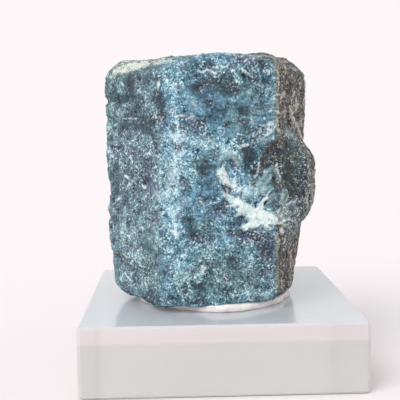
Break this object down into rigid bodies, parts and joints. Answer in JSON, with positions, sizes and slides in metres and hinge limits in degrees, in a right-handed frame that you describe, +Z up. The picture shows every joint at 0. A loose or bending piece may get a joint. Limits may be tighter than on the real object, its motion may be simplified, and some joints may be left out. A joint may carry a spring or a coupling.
{
  "type": "rough sapphire crystal on a display block",
  "caption": "Rough blue-grey sapphire crystal, a hexagonal barrel with a smaller crystal grown on its side, bedded in putty on a clear acrylic display block.",
  "frame": {"origin": "middle of the display block's underside", "axes": "+Z up along the crystal, -Y towards the front of the block, +X to the right seen from the front"},
  "size_m": [0.0508, 0.0508, 0.0595],
  "materials": {
    "acrylic": "clear cast acrylic, polished",
    "putty": "soft cream mounting putty, squashed flat",
    "crystal": "rough, pitted natural surface with a dull glint"
  },
  "bodies": {
    "root": {"display_block": "acrylic", "mounting_putty": "putty", "sapphire_crystal": "crystal"}
  },
  "joints": []
}
